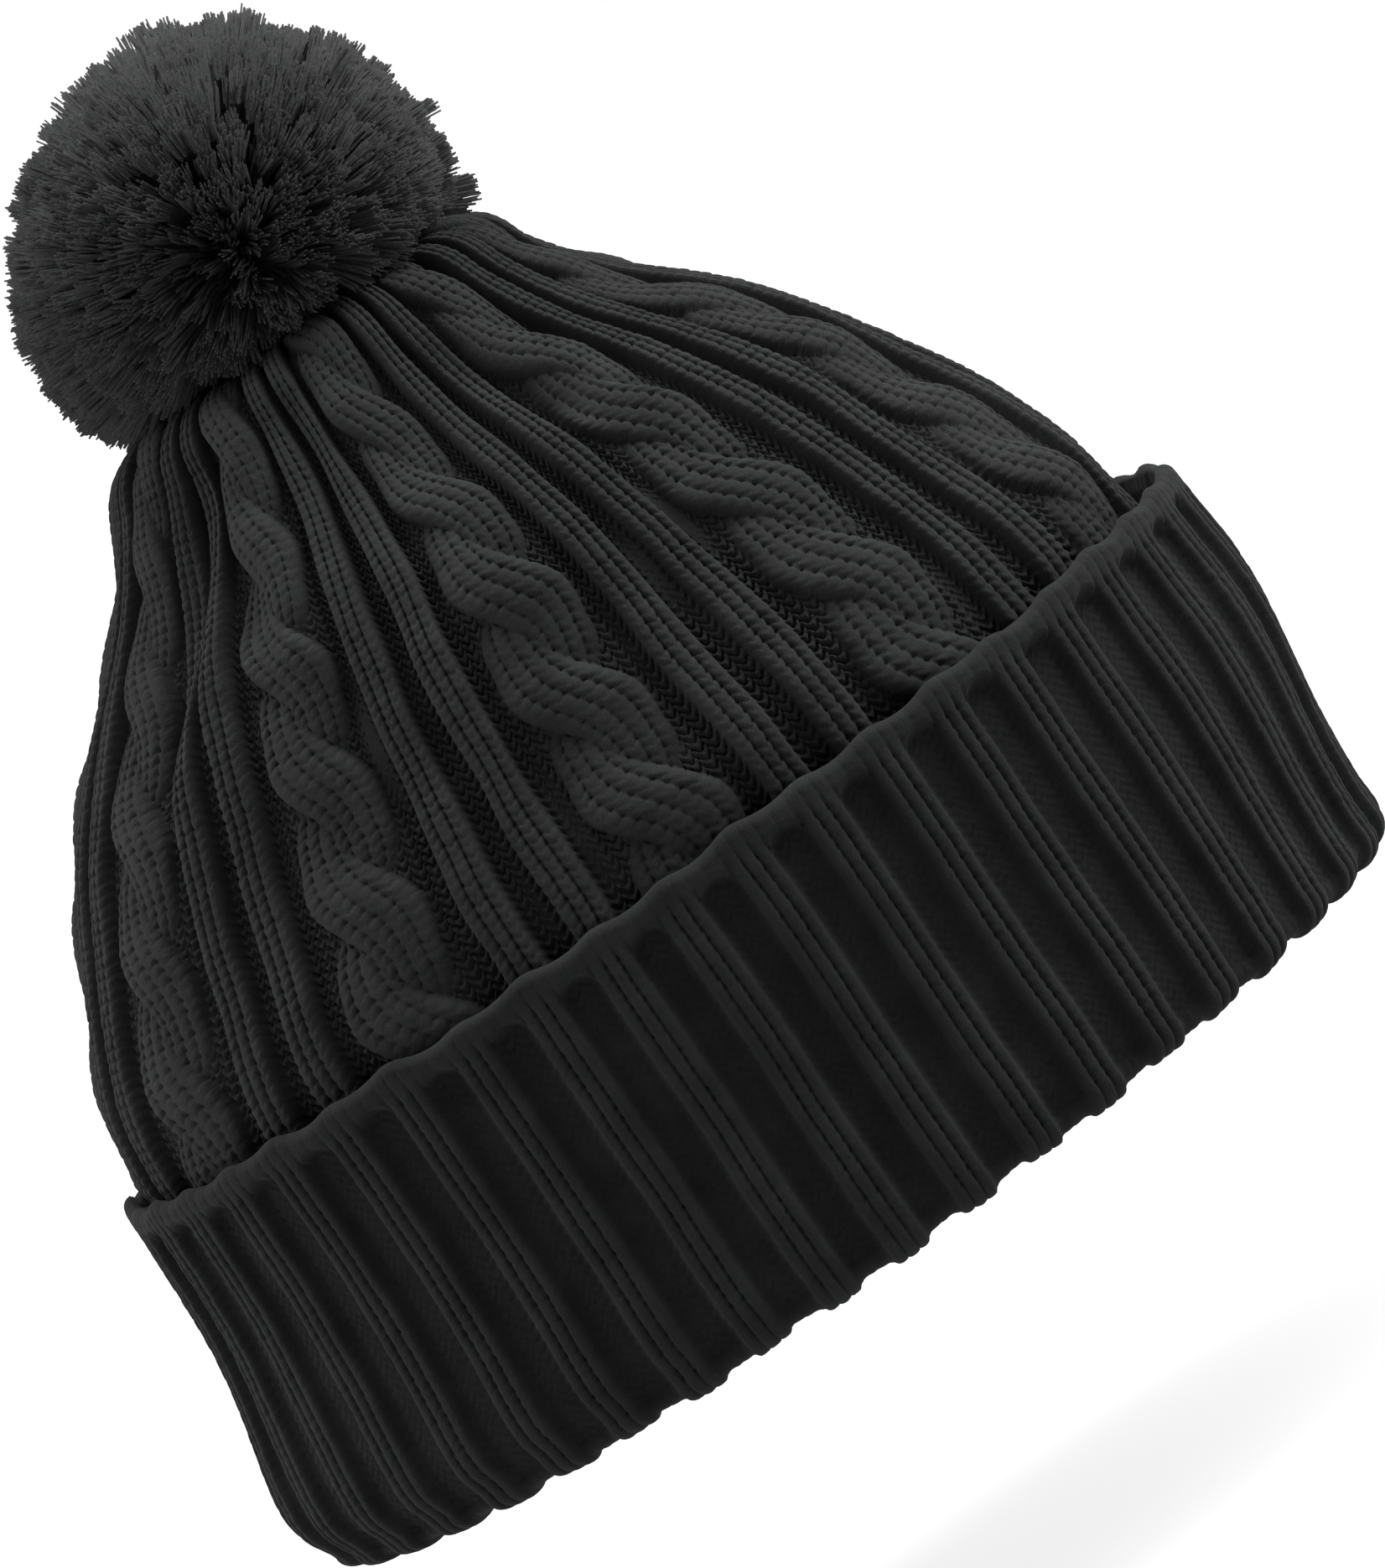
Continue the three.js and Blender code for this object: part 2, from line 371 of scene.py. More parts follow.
def widths_apart(faces):
    """Lists of corners sorted into arrays by how many corners they have."""
    found = {}
    for f in faces:
        found.setdefault(len(f), []).append(f)
    return [np.array(v) for v in found.values()]


def slab(name, outer, outer_normals, inner, inner_normals, rows, cols, material, depth=None):
    """A closed slab of fabric: a fine outer face, a coarse inner face and the strips that join them."""
    outer_ids = np.arange(outer.shape[0] * outer.shape[1]).reshape(outer.shape[:2])
    inner_ids = outer_ids.size + np.arange(inner.shape[0] * inner.shape[1]).reshape(inner.shape[:2])
    points = np.concatenate([outer.reshape(-1, 3), inner.reshape(-1, 3)])
    normals = np.concatenate([outer_normals.reshape(-1, 3), inner_normals.reshape(-1, 3)])
    uv = np.concatenate([
        grid_uv(outer.shape, (0.005, 0.005), (0.76, 0.995)),
        grid_uv(inner.shape, (0.775, 0.005), (0.995, 0.995)),
    ])
    faces = [quads(outer_ids), quads(inner_ids, flipped=True)]
    faces += widths_apart(edge_strips(outer_ids, inner_ids, rows, cols))
    if depth is not None:
        # The inner face gets a quarter of a valley's darkening: painted shade on the hidden side.
        depth = np.concatenate([depth.ravel(), np.full(inner_ids.size, 0.25)])
    return make_mesh(name, points, faces, normals, uv, material, depth)


def depth_of(relief, lowest):
    """How deep each point lies, from 0 at the top of a rib to 1 in a valley."""
    return smooth(0.05, 1.0, -relief / lowest)


# ---------------------------------------------------------------- materials


def new_material(name):
    material = bpy.data.materials.new(name)
    material.use_nodes = True
    nodes = material.node_tree.nodes
    return material, nodes, material.node_tree.links, nodes["Principled BSDF"]


def add_noise(nodes, links, coords, scale, detail=3.0, roughness=0.6):
    noise = nodes.new("ShaderNodeTexNoise")
    noise.inputs["Scale"].default_value = scale
    noise.inputs["Detail"].default_value = detail
    noise.inputs["Roughness"].default_value = roughness
    links.new(coords, noise.inputs["Vector"])
    return noise


def colour_between(nodes, links, factor, low, high, dark, light):
    ramp = nodes.new("ShaderNodeValToRGB")
    ramp.color_ramp.elements[0].position = low
    ramp.color_ramp.elements[1].position = high
    ramp.color_ramp.elements[0].color = (*dark, 1)
    ramp.color_ramp.elements[1].color = (*light, 1)
    links.new(factor, ramp.inputs["Fac"])
    return ramp.outputs["Color"]


def yarn_material(name, dark, light, fibre=2600.0, bump=0.5, sheen=0.03):
    """Matt yarn: fine fibres in its bump, uneven dye in its colour, and painted shade that darkens it deep in
    the knitting.
    """
    material, nodes, links, shader = new_material(name)
    coords = nodes.new("ShaderNodeTexCoord").outputs["Object"]
    fibres = add_noise(nodes, links, coords, fibre, 4.0, 0.7)
    blotches = add_noise(nodes, links, coords, 120.0, 3.0, 0.55)
    mix = nodes.new("ShaderNodeMath")
    mix.operation = "MULTIPLY_ADD"
    mix.inputs[1].default_value = 0.55
    links.new(fibres.outputs["Fac"], mix.inputs[0])
    half = nodes.new("ShaderNodeMath")
    half.operation = "MULTIPLY"
    half.inputs[1].default_value = 0.45
    links.new(blotches.outputs["Fac"], half.inputs[0])
    links.new(half.outputs[0], mix.inputs[2])
    dye = colour_between(nodes, links, mix.outputs[0], 0.35, 0.65, dark, light)
    # Painted shade: the colour is scaled down towards VALLEY_SHADE where the depth attribute says a point
    # lies deep in the knitting.
    depth = nodes.new("ShaderNodeAttribute")
    depth.attribute_name = "depth"
    shade = nodes.new("ShaderNodeMapRange")
    shade.inputs["To Min"].default_value = 1.0
    shade.inputs["To Max"].default_value = VALLEY_SHADE
    links.new(depth.outputs["Fac"], shade.inputs["Value"])
    shaded = nodes.new("ShaderNodeVectorMath")
    shaded.operation = "SCALE"
    links.new(dye, shaded.inputs[0])
    links.new(shade.outputs["Result"], shaded.inputs["Scale"])
    links.new(shaded.outputs["Vector"], shader.inputs["Base Color"])
    relief = nodes.new("ShaderNodeBump")
    relief.inputs["Strength"].default_value = bump
    relief.inputs["Distance"].default_value = 0.0004
    links.new(fibres.outputs["Fac"], relief.inputs["Height"])
    links.new(relief.outputs["Normal"], shader.inputs["Normal"])
    rough = nodes.new("ShaderNodeMapRange")
    rough.inputs["To Min"].default_value = 0.82
    rough.inputs["To Max"].default_value = 1.0
    links.new(blotches.outputs["Fac"], rough.inputs["Value"])
    links.new(rough.outputs["Result"], shader.inputs["Roughness"])
    shader.inputs["Specular IOR Level"].default_value = 0.04
    shader.inputs["Sheen Weight"].default_value = sheen
    shader.inputs["Sheen Roughness"].default_value = 0.45
    return material


KNIT = yarn_material("charcoal_knit_yarn", (0.0134, 0.0137, 0.0140), (0.0254, 0.0260, 0.0265))
# The same yarn as KNIT, made darker by about a tenth: painted shade on the cuff's steep face, which gets less
# light than the crown.
KNIT_PAINTED_SHADE = yarn_material("charcoal_knit_painted_shade", (0.0100, 0.0103, 0.0106), (0.0190, 0.0195, 0.0200))
POMPOM = yarn_material("pompom_cut_yarn", (0.0338, 0.0343, 0.0348), (0.0567, 0.0574, 0.0581), fibre=1800.0)
TIE = yarn_material("tie_yarn_twisted", (0.006, 0.0063, 0.0067), (0.011, 0.0115, 0.012))
LABEL = yarn_material("label_tape_weave", (0.42, 0.42, 0.40), (0.60, 0.60, 0.57), fibre=3200.0, bump=0.3)


# ---------------------------------------------------------------- the body


def wale_shares(knit, purl, cables):
    """Share of the way round from the middle of the front rib, for each row's wale widths and each column."""
    knit_before, purl_before = wale_counts(cables)
    before = np.outer(knit, knit_before) + np.outer(purl, purl_before)
    whole = knit * (WALES - 2 * len(RIBS)) + purl * 2 * len(RIBS)
    if cables:
        whole = (14 * knit + 6 * purl) * REPEATS
    front = 1.5 * knit + purl
    return (before - front[:, None]) / whole[:, None]


# Soft creases where the slack crown folds over on itself: share of the way round at the foot and at the top
# of the crease, its lowest and highest point, how deep it is and how wide.
CREASES = [
    (-0.152, -0.116, 128, 172, 2.4, 4.4),
    (-0.082, -0.110, 134, 172, 2.0, 4.0),
    (-0.040, -0.028, 142, 173, 1.5, 4.0),
    (0.095, 0.060, 134, 170, 1.7, 4.2),
    (0.330, 0.300, 126, 168, 2.0, 4.6),
    (0.560, 0.585, 130, 170, 1.8, 4.2),
]


def crease_relief(share, z, girth):
    """Depth of the soft creases, each with a fuller fold beside it."""
    total = np.zeros(np.broadcast(share, z).shape)
    for foot, top, low, high, depth, width in CREASES:
        along = np.clip((z - low) / (high - low), 0, 1)
        middle = foot + (top - foot) * along
        aside = np.mod(share - middle + 0.5, 1) - 0.5
        x = aside * girth / width
        fade = smooth(low - 8, low + 14, z) * (1 - smooth(high - 8, high + 4, z))
        total -= depth * fade * (np.exp(-x**2) - 0.7 * np.exp(-((x - 2.3) / 1.2) ** 2))
    return total


def to_side(angle, towards, power=2):
    """1 on the side of the hat that faces this plan angle, and 0 on its far half."""
    return np.clip(np.cos(angle - towards), 0, 1) ** power


def body_shares(z, girth, above):
    """Share of the way round of each point of the body. Above the band the wales wander a little."""
    ribbed = wale_shares(np.full(len(z), CUFF_KNIT), np.full(len(z), CUFF_PURL), cables=False)
    share = ribbed * (1 - above) + wale_shares(*zone_widths(girth), cables=True) * above
    sway = ripple(5, 6, share, z[:, None]) * 0.6 + ripple(6, 5, share, z[:, None], (10, 40), (14, 30)) * 0.15
    return share + sway * above / girth[:, None]


def body_base(half_x, z, angle):
    """The body's plain form: ovals one above another, leaning as they rise."""
    return np.stack([
        half_x * np.cos(angle) + lean_at(z),
        (half_x - ovalness(z)) * np.sin(angle),
        np.broadcast_to(z, angle.shape),
    ], -1)


def body_stitches(course, girth, above, pleat, fullness):
    """Height of the body's knitting over its plain form: ribs and cables above the band, plain ribs on it."""
    wale = WALE_AT[None, :]
    knit = zone_widths(girth)[0]
    shrink = np.clip(knit / knit[-1 - len(knit) // 2], 0, 1)
    crown = body_relief(wale, course, shrink, pleat) * fullness
    stitches = np.where(is_purl(np.floor(wale + 0.5)), 0, 0.8 * knit_relief(wale, course))
    return crown * above + (rib_level(wale, CUFF_DEPTH) + stitches) * (1 - above)


def body_surfaces(half_x, z, course, girth):
    """The body's outer and inner grids of points, and how deep each outer point lies.

    The arguments are columns, with one entry for each row of the grids."""
    above = smooth(BAND_TOP - 4, BAND_TOP + 6, z)
    share = body_shares(z[:, 0], girth[:, 0], above)
    angle = plan_angle(share)
    base = body_base(half_x, z, angle)
    out = grid_normals(base)
    fullness = np.clip(girth / (len(RIBS) * 6.0), 0, 1)
    gathered = smooth(118, 165, z)
    slumped = np.exp(-(((share + 0.2) / 0.11) ** 2)) * smooth(84, 125, z)
    relief = body_stitches(course, girth, above, 0.3 * gathered + 0.35 * slumped, fullness)
    free = smooth(CUFF_TOP - 5, CUFF_TOP + 2, z)
    relief = np.where(relief > 0, relief * free, relief)
    sunk = depth_of(relief, RIB_DEPTH * fullness)
    relief = relief + (0.5 + 0.6 * ripple(7, 6, share, z)) * free * fullness
    sag = CROWN_SAG * to_side(angle, math.pi) * np.exp(-(((z - 104) / 26) ** 2)) * free
    form = sag + crease_relief(share, z, girth) * fullness
    outer = base + out * (relief + form)[..., None]
    inner_relief = np.minimum(0.9 * (rib_level(WALE_AT, 1.0)[None, :] + 0.4), 0.4)
    pulled_in = 0.9 * np.maximum(gathered, slumped)
    inner = base - out * (FABRIC + inner_relief * fullness + pulled_in - form)[..., None]
    return outer, inner, sunk


def build_body():
    """The knitted crown and the band behind the cuff, as one gore for each repeat of the pattern."""
    half_x, z, course, coarse = body_rows()
    girth = TAU * (half_x - ovalness(z) / 2)
    girth *= FOLD_GIRTH / girth[0]
    outer, inner, sunk = body_surfaces(*(row[:, None] for row in (half_x, z, course, girth)))
    outer_normals = grid_normals(outer)
    inner_normals = -grid_normals(inner)
    inner_rows = np.concatenate([np.arange(0, coarse, 2), np.arange(coarse, len(z), ROWS_PER_COURSE)])
    if inner_rows[-1] != len(z) - 1:
        inner_rows = np.append(inner_rows, len(z) - 1)
    per_gore = COLUMNS // REPEATS
    inner_cols = np.arange(0, per_gore + 1, PER_WALE // 2)
    for i in range(REPEATS):
        cols = columns_of(i * per_gore, per_gore)
        few = cols[inner_cols]
        piece = slab(
            f"crown_gore_{i + 1:02d}", outer[:, cols], outer_normals[:, cols],
            inner[np.ix_(inner_rows, few)], inner_normals[np.ix_(inner_rows, few)],
            inner_rows, inner_cols, KNIT, sunk[:, cols],
        )
        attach(piece, "root")
        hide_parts("knit_body")


# ---------------------------------------------------------------- the cuff


def cuff_relief(wale, z):
    """Height of the cuff's outside under its rib tops, with a round arch above each valley, under the rim."""
    x = np.abs(np.mod(wale - FIRST_WALE, WALES_PER_RIB) - WALES_PER_RIB / 2)
    in_valley = np.clip((WALES_PER_RIB / 2 - x) / 1.05, 0, 1)
    arch = CUFF_TOP - 3.2 - 3.6 * (1 - np.sqrt(1 - in_valley**2))
    valley = smooth(1.25, 1.8, x) * smooth(0, 2.4, arch - z)
    rim = smooth(CUFF_TOP - 6, CUFF_TOP - 3.4, z)
    stitches = (1 - 0.8 * rim) * knit_relief(wale, z / COURSE, groove=0.5, crack=0.05)
    rounded = -0.35 * np.minimum(x / 1.4, 1) ** 2 * (1 - rim)
    on_rib = rounded + stitches
    in_groove = -CUFF_DEPTH + 0.2 * purl_relief(wale, z / COURSE)
    return on_rib * (1 - valley) + in_groove * valley


def fold_points(share, offset, z):
    """Points at a distance outward from the fold line, at a height, leaning with the hat."""
    angle = plan_angle(share)
    nx = FOLD_HALF_Y * np.cos(angle)
    ny = FOLD_HALF_X * np.sin(angle)
    size = np.hypot(nx, ny)
    x = FOLD_HALF_X * np.cos(angle) + offset * nx / size
    y = FOLD_HALF_Y * np.sin(angle) + offset * ny / size
    return np.stack([x + lean_at(z), y, np.broadcast_to(z, x.shape)], -1)


ARC_STEPS = 18
RIM_STEPS = 6
RIM_RADIUS = 2.0
INNER_FLARE = 0.4  # share of the flare that the inner face follows
INNER_LAP = 1.04  # the inner faces of neighbouring ribs lap, so that none part when the cuff is turned down


def tuck_at(z):
    """How far the top of the cuff leans in against the crown."""
    return 0.7 * smooth(CUFF_TOP - 22, CUFF_TOP, z)


def foot_flare(angle, z):
    """How far the foot of the cuff is fuller on the wearer's right, drawn in again at the fold."""
    return FOOT_FLARE * to_side(angle, math.pi) * smooth(-9, 15, z) * (1 - smooth(6, 60, z))


def top_flare(angle, z):
    """How far the top of the cuff stands off the crown on the wearer's left."""
    return TOP_FLARE * to_side(angle, 0) * smooth(6, CUFF_TOP - 22, z)


def cuff_outside(share, wale):
    """The outside of the cuff, from the inner end of the fold, round it, up the face and over the rim.

    Gives the points of the fold, those of the face, and how deep each of them lies."""
    angle = plan_angle(share)
    arc = np.linspace(0, math.pi, ARC_STEPS + 1)[:, None]
    turned = smooth(0.1, 0.8, arc / math.pi)
    evened = (0.5 + 0.5 * turned) * (1 - 0.45 * np.sin(arc))
    arc_relief = evened * cuff_relief(wale, FOLD_RADIUS + arc)
    radius = FOLD_RADIUS + arc_relief + 0.3 * ripple(27, 8, share, 0.0, (3, 40)) * np.sin(arc)
    aside = foot_flare(angle, FOLD_RADIUS) * turned - radius * np.cos(arc)
    drop = radius * np.sin(arc) * (1 - 0.25 * to_side(angle, math.pi))
    rolled = fold_points(share + 0 * arc, aside, FOLD_RADIUS - drop)

    last = CUFF_TOP - RIM_RADIUS
    z = np.arange(FOLD_RADIUS, last, COURSE / ROWS_PER_COURSE)[1:, None]
    turn = np.linspace(0, math.pi / 2, RIM_STEPS + 1)[:, None]
    height = np.concatenate([z, last + RIM_RADIUS * np.sin(turn)])
    inwards = np.concatenate([0 * z, RIM_RADIUS * (1 - np.cos(turn))])
    round_foot = 0.9 * np.exp(-(((height - 13) / 12) ** 2)) * (1 - to_side(angle, 0))
    bulge = round_foot + 0.3 * ripple(23, 6, share, height)
    bulge = bulge * smooth(FOLD_RADIUS, FOLD_RADIUS + 6, height)
    bulge = bulge + foot_flare(angle, height) + top_flare(angle, height)
    sway = 0.28 * ripple(29, 5, share, height, (1, 7), (50, 120))
    sway = sway + 0.08 * ripple(30, 5, share, height, (9, 40), (16, 40))
    where = share + sway * smooth(6, 30, height) / FOLD_GIRTH
    scallop = 0.45 * np.cos(TAU * (wale - FIRST_WALE - WALES_PER_RIB / 2) / WALES_PER_RIB)
    wave = scallop + 0.5 * ripple(31, 8, share, 0.0, (3, 30))
    wavy = height + wave * smooth(CUFF_TOP - 10, CUFF_TOP, height)
    face_relief = cuff_relief(wale, height)
    offset = FOLD_RADIUS + bulge - tuck_at(height) - inwards + face_relief
    depth = depth_of(np.concatenate([arc_relief, face_relief]), CUFF_DEPTH)
    return rolled, fold_points(where, offset, wavy), depth


def cuff_back(share, wale):
    """The hidden side of the cuff's face: the heights of its rows, and how far each point stands off."""
    z = np.arange(FOLD_RADIUS, CUFF_TOP - 1, COURSE / 3)[:, None]
    from_rib = np.abs(np.mod(wale - FIRST_WALE, WALES_PER_RIB) - WALES_PER_RIB / 2)
    hidden_ribs = 0.55 * smooth(1.3, 1.7, from_rib) - 0.15 * np.minimum(knit_relief(wale, z / COURSE), 0)
    angle = plan_angle(share)
    flared = top_flare(angle, z) + INNER_FLARE * foot_flare(angle, z)
    back = FOLD_GAP / 2 - tuck_at(z) + flared + hidden_ribs + 0.6 * smooth(CUFF_TOP - 3, CUFF_TOP - 1, z)
    return z, back


def cuff_crook(share):
    """The inside of the fold, as a few arcs of points."""
    gap = FOLD_GAP / 2
    arc = np.linspace(0, math.pi, 5)[:, None]
    opened = INNER_FLARE * foot_flare(plan_angle(share), FOLD_RADIUS) * arc / math.pi
    return fold_points(share + 0 * arc, opened - gap * np.cos(arc), FOLD_RADIUS - gap * np.sin(arc))


def build_cuff():
    """The turned-up cuff: one piece for each rib, and one for the fold under it."""
    wale = WALE_AT[None, :]
    share = wale_shares(np.array([CUFF_KNIT]), np.array([CUFF_PURL]), cables=False)
    rolled, face, sunk = cuff_outside(share, wale)
    whole = np.concatenate([rolled, face])
    normals = grid_normals(whole)
    in_arc = len(rolled)
    z, back = cuff_back(share, wale)
    inside = cuff_crook(share)
    inside_normals = -grid_normals(inside)

    per_rib = WALES_PER_RIB * PER_WALE
    few = np.arange(0, per_rib + 1, 2)
    sheet_rows = np.linspace(0, len(whole) - in_arc, len(z)).round().astype(int)
    arc_rows = np.linspace(0, ARC_STEPS, len(inside)).round().astype(int)
    for i, body in enumerate(RIBS):
        cols = columns_of(i * per_rib, per_rib)
        middle = i / len(RIBS)
        from_middle = (share[:, cols[few]] - middle + 0.5) % 1 - 0.5
        inner = fold_points(middle + INNER_LAP * from_middle + 0 * z, back[:, cols[few]], z)
        piece = slab(
            f"cuff_rib_knit_{i + 1:02d}", whole[in_arc - 1 :, cols], normals[in_arc - 1 :, cols],
            inner, -grid_normals(inner, wraps=False), sheet_rows, few, KNIT_PAINTED_SHADE, sunk[in_arc - 1 :, cols],
        )
        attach(piece, body)
        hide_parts(body)
        bend = slab(
            f"cuff_fold_knit_{i + 1:02d}", whole[:in_arc, cols], normals[:in_arc, cols],
            inside[:, cols[few]], inside_normals[:, cols[few]], arc_rows, few, KNIT_PAINTED_SHADE, sunk[:in_arc, cols],
        )
        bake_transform(bend)


# ---------------------------------------------------------------- yarn tubes


def tubes(name, paths, radii, sides, material, soft=0.0, inside=0.0):
    """Closed tubes along many paths at once: paths is count by steps by 3, radii count by steps.

    soft turns the normals towards the tip, as fuzz does. inside is how deep the root of each tube lies, and
    how far its colour is darkened there as painted shade."""
    count, steps, _ = paths.shape
    along = np.gradient(paths, axis=1)
    along /= np.maximum(np.linalg.norm(along, axis=2, keepdims=True), 1e-9)
    helper = np.where(np.abs(along[:, :1, 2:]) < 0.8, [[[0, 0, 1.0]]], [[[1.0, 0, 0]]])
    u = np.cross(along, np.broadcast_to(helper, along.shape))
    u /= np.maximum(np.linalg.norm(u, axis=2, keepdims=True), 1e-9)
    v = np.cross(along, u)
    turn = np.arange(sides) * TAU / sides
    ring = u[:, :, None] * np.cos(turn)[:, None] + v[:, :, None] * np.sin(turn)[:, None]
    body = paths[:, :, None] + ring * radii[:, :, None, None]
    overhang = np.array([-0.5, 0.6])[None, :, None]
    ends = paths[:, [0, -1]] + along[:, [0, -1]] * radii[:, [0, -1], None] * overhang
    points = np.concatenate([body.reshape(count, -1, 3), ends], 1)
    sideways = ring * (1 - soft) + along[:, :, None] * soft
    sideways /= np.linalg.norm(sideways, axis=3, keepdims=True)
    tips = along[:, [0, -1]] * np.array([-1.0, 1.0])[None, :, None]
    normals = np.concatenate([sideways.reshape(count, -1, 3), tips], 1).reshape(-1, 3)
    # Painted shade: the depth attribute darkens each tube towards its root.
    sunk = np.repeat(inside * (1 - np.arange(steps) / (steps - 1)) ** 0.7, sides)
    depth = np.tile(np.concatenate([sunk, [inside, 0.0]]), count)
    each = points.shape[1]
    first = (np.arange(count) * each)[:, None, None]
    ids = np.arange(steps * sides).reshape(steps, sides)
    nxt = np.roll(ids, -1, 1)
    wall = np.stack([ids[:-1], nxt[:-1], nxt[1:], ids[1:]], -1).reshape(1, -1, 4) + first
    base = np.stack([nxt[0], ids[0], np.full(sides, each - 2)], -1).reshape(1, -1, 3) + first
    cap = np.stack([ids[-1], nxt[-1], np.full(sides, each - 1)], -1).reshape(1, -1, 3) + first
    across = math.ceil(math.sqrt(count))
    cell = np.stack([np.arange(count) % across, np.arange(count) // across], -1) / across
    grid = np.stack(np.meshgrid(np.arange(sides) / sides, np.arange(steps) / steps), -1).reshape(-1, 2)
    grid = np.concatenate([grid, [[0.5, 0.0], [0.5, 0.99]]])
    uv = (cell[:, None] + (0.08 + 0.84 * grid[None]) / across).reshape(-1, 2)
    faces = [wall.reshape(-1, 4), base.reshape(-1, 3), cap.reshape(-1, 3)]
    return make_mesh(name, points.reshape(-1, 3), faces, normals, uv, material, depth)


def ply_paths(path, plies, radius, turns, phase=0.0):
    """Helices round one path: the plies of a twisted yarn."""
    steps = len(path)
    along = np.gradient(path, axis=0)
    along /= np.linalg.norm(along, axis=1, keepdims=True)
    helper = np.array([0.3, 0.9, 0.2])
    u = np.cross(along, helper)
    u /= np.linalg.norm(u, axis=1, keepdims=True)
    v = np.cross(along, u)
    t = np.linspace(0, 1, steps)
    found = []
    for k in range(plies):
        a = phase + TAU * (turns * t + k / plies)
        found.append(path + radius * (u * np.cos(a)[:, None] + v * np.sin(a)[:, None]))
    return np.array(found)


# ---------------------------------------------------------------- the pompom

POMPOM_LOW, POMPOM_HIGH = (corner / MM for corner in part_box("pompom_yarn"))
POMPOM_RADIUS = (POMPOM_HIGH.x - POMPOM_LOW.x) / 2
POMPOM_CENTRE = np.array([PIVOT.x + 1.0, 0.0, POMPOM_HIGH.z - POMPOM_RADIUS - 0.2])
POMPOM_YARNS = 4600
CORE_YARNS = 1200  # shorter ones that fill the middle
TUFTS = 1150
FIBRES = 9  # in each yarn
FIBRE_STEPS = 5
RESTING_BELOW = -0.43  # yarns that point lower than this stay on the crown as the ball leans
PARTING = np.array([-0.19, -0.98, 0.04])  # where the yarns part, round one end of the binding
UNDERSIDE_SLOPE = 0.03  # the underside rises a little from the neck


def unit(v):
    return v / np.maximum(np.linalg.norm(v, axis=-1, keepdims=True), 1e-9)


def pompom_reach(way):
    """How far the ball reaches from its middle: round above, and just clear of the crown below."""
    down = np.clip(-way[:, 2], 0, 1)
    aside = np.sqrt(1 - down**2)
    left_front = np.clip(-0.5 * way[:, 0] - 0.6 * way[:, 1], 0, 1)
    fall = down + (UNDERSIDE_SLOPE + 0.10 * left_front) * aside
    bottom = (POMPOM_CENTRE[2] - PIVOT.z + 0.6) / np.maximum(fall, 1e-3)
    return np.minimum(POMPOM_RADIUS * (0.975 - 0.03 * down), bottom + 2.4 * (1 - down))


def lumps(way, rng, count, width):
    """A smooth random field over the directions of the ball, of about unit size."""
    peaks = unit(rng.normal(size=(count, 3)))
    signs = rng.choice((-1.0, 1.0), count)
    return (np.exp((way @ peaks.T - 1) / width**2) * signs).sum(1)


def yarn_ways(rng):
    """The direction of each cut yarn, the tuft that it belongs to, and how near it is to the parting.

    The core's shorter yarns come after the others."""
    filling = np.linspace(0, POMPOM_YARNS, CORE_YARNS) % POMPOM_YARNS
    i = np.concatenate([np.arange(POMPOM_YARNS) + 0.5, filling])
    up = 1 - 2 * i / POMPOM_YARNS
    turn = math.pi * (1 + math.sqrt(5)) * i
    way = np.stack([np.sqrt(1 - up**2) * np.cos(turn), np.sqrt(1 - up**2) * np.sin(turn), up], -1)
    tufts = unit(rng.normal(size=(TUFTS, 3)))
    own = np.argmax(way @ tufts.T, axis=1)
    clumps = unit(rng.normal(size=(110, 3)))
    big = clumps[np.argmax(tufts @ clumps.T, axis=1)]
    tufts = unit(tufts + 0.09 * (big - tufts))
    way = unit(way + 0.38 * (tufts[own] - way) + rng.normal(0, 0.014, way.shape))
    near = np.exp(-((np.arccos(np.clip(way @ PARTING, -1, 1)) / 0.36) ** 2))
    away = unit(way - PARTING * (way @ PARTING)[:, None])
    parted = unit(way + 0.15 * near[:, None] * away)
    way[:POMPOM_YARNS] = parted[:POMPOM_YARNS]
    return way, own, near


def yarn_reaches(rng, way, own, near):
    """How far each cut yarn reaches: uneven from tuft to tuft, and much shorter in the core."""
    tuft_reach = rng.normal(0, 0.02, TUFTS)
    tuft_reach[rng.random(TUFTS) < 0.15] += 0.035
    reach = pompom_reach(way) * (1 + tuft_reach[own] + rng.normal(0, 0.006, len(way)))
    reach *= 1 - 0.08 * near**2 + 0.016 * lumps(way, rng, 90, 0.3)
    reach[POMPOM_YARNS:] *= rng.uniform(0.55, 0.85, CORE_YARNS)
    return reach


def fibre_paths(rng, way, own, reach):
    """The path of every fibre: each yarn bends a little, and its fibres spread towards the tip."""
    bend = 0.35 * rng.normal(size=way.shape) + rng.normal(size=(TUFTS, 3))[own]
    bend[:, 2] -= 0.5
    bend = unit(bend - way * (bend * way).sum(1, keepdims=True)) * rng.uniform(0.03, 0.16, (len(way), 1))
    t = np.linspace(0.4, 1, FIBRE_STEPS)[None, :, None]
    path = (way[:, None] * t + bend[:, None] * (t - 0.4) ** 2 * 1.3) * reach[:, None, None]
    splay = rng.normal(size=(len(way), FIBRES, 3))
    splay = unit(splay - way[:, None] * (splay * way[:, None]).sum(2, keepdims=True))
    splay *= rng.uniform(0.1, 1.0, (len(way), FIBRES, 1)) ** 0.5
    spread = 0.4 + 0.85 * ((t - 0.4) / 0.6) ** 2
    paths = path[:, None] + splay[:, :, None] * spread[None]
    paths = paths + rng.normal(0, 0.16, paths.shape) * ((t[None] - 0.4) / 0.6)
    paths = paths + way[:, None, None] * rng.normal(0, 0.3, (len(way), FIBRES, 1, 1)) * (t[None] > 0.9)
    return paths.reshape(-1, FIBRE_STEPS, 3) + POMPOM_CENTRE


